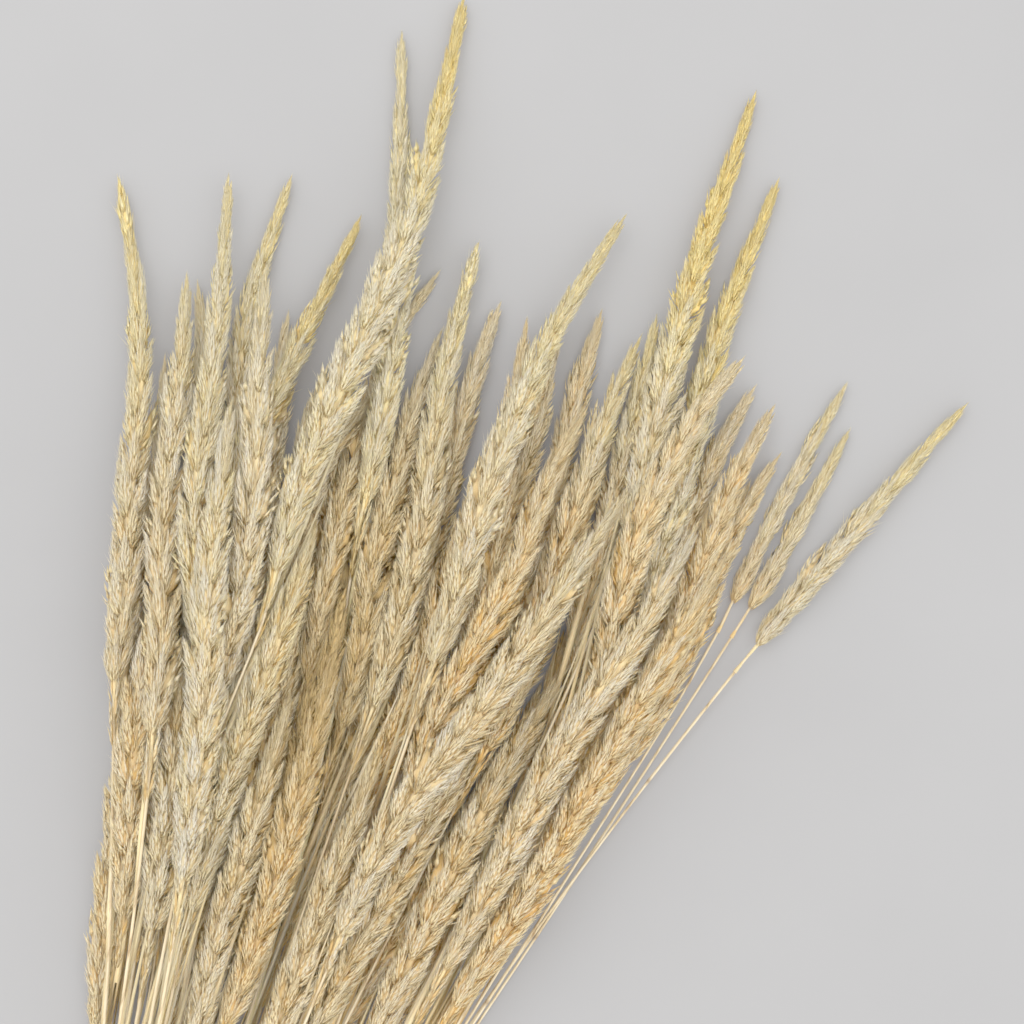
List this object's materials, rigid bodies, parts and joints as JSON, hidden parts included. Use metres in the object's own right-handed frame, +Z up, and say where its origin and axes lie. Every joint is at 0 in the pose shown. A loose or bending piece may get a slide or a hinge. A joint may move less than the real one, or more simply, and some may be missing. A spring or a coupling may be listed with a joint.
{
  "type": "dried small-reed bunch",
  "caption": "Tied bunch of bleached small-reed: feathery straw-coloured plumes on thin bare stems, fanned out and lying flat as a dried decoration.",
  "frame": {"origin": "middle of the band's flat underside, where the bunch rests on the surface", "axes": "+Y along the bunch from the cut ends to the plume tips, +X to the right seen from above, +Z up from the surface"},
  "size_m": [0.3657, 0.8895, 0.0584],
  "materials": {
    "plume_pale": "matte bleached plant fibre, cream",
    "plume_warm": "matte dried plant fibre, warm straw",
    "plume_golden": "matte dried plant fibre, golden straw",
    "plume_grey": "matte dried plant fibre, grey-green straw",
    "band": "matte natural twine"
  },
  "bodies": {
    "root": {"reed_01": "plume_warm", "reed_02": "plume_warm", "reed_03": "plume_warm", "reed_04": "plume_warm", "reed_05": "plume_pale", "reed_06": "plume_warm", "reed_07": "plume_pale", "reed_08": "plume_warm", "reed_09": "plume_warm", "reed_10": "plume_warm", "reed_11": "plume_warm", "reed_12": "plume_golden", "reed_13": "plume_pale", "reed_14": "plume_warm", "reed_15": "plume_warm", "reed_16": "plume_warm", "reed_17": "plume_pale", "reed_18": "plume_warm", "reed_19": "plume_warm", "reed_20": "plume_warm", "reed_21": "plume_pale", "reed_22": "plume_warm", "reed_23": "plume_warm", "reed_24": "plume_warm", "reed_25": "plume_warm", "reed_26": "plume_golden", "reed_27": "plume_golden", "reed_28": "plume_warm", "reed_29": "plume_warm", "reed_30": "plume_warm", "reed_31": "plume_warm", "reed_32": "plume_warm", "reed_33": "plume_warm", "reed_34": "plume_warm", "reed_35": "plume_golden", "reed_36": "plume_pale", "reed_37": "plume_pale", "reed_38": "plume_warm", "reed_39": "plume_warm", "reed_40": "plume_warm", "reed_41": "plume_grey", "reed_42": "plume_grey", "reed_43": "plume_pale", "reed_44": "plume_pale", "reed_45": "plume_warm", "reed_46": "plume_warm", "reed_47": "plume_pale", "reed_48": "plume_warm", "reed_49": "plume_warm", "reed_50": "plume_pale", "reed_51": "plume_pale", "reed_52": "plume_warm", "reed_53": "plume_warm", "reed_54": "plume_pale", "reed_55": "plume_pale", "reed_56": "plume_warm", "reed_57": "plume_warm", "reed_58": "plume_warm", "reed_59": "plume_warm", "tie_band": "band"}
  },
  "joints": []
}
